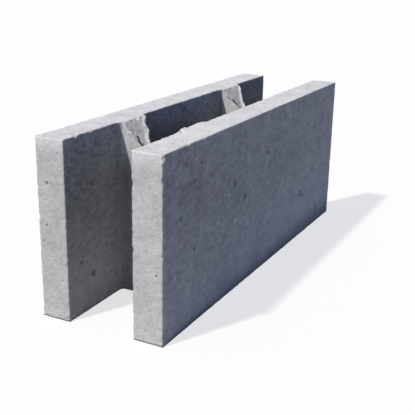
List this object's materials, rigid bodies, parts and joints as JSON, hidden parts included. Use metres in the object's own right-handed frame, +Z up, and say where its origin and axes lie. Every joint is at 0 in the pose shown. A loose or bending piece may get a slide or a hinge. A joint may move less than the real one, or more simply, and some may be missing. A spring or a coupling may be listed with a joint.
{
  "type": "concrete shuttering block",
  "caption": "Hollow cast concrete shuttering block, open at its ends: face shells tied by notched webs, stacked dry and filled with concrete and steel bars.",
  "frame": {"origin": "middle of the underside, on the surface that the block stands on", "axes": "+X along the block's length, +Y through the wall from the front face shell to the back one, +Z up"},
  "size_m": [0.5, 0.15, 0.2],
  "materials": {
    "concrete": "rough dry-cast concrete, bare"
  },
  "bodies": {
    "root": {"shuttering_block": "concrete"}
  },
  "joints": []
}
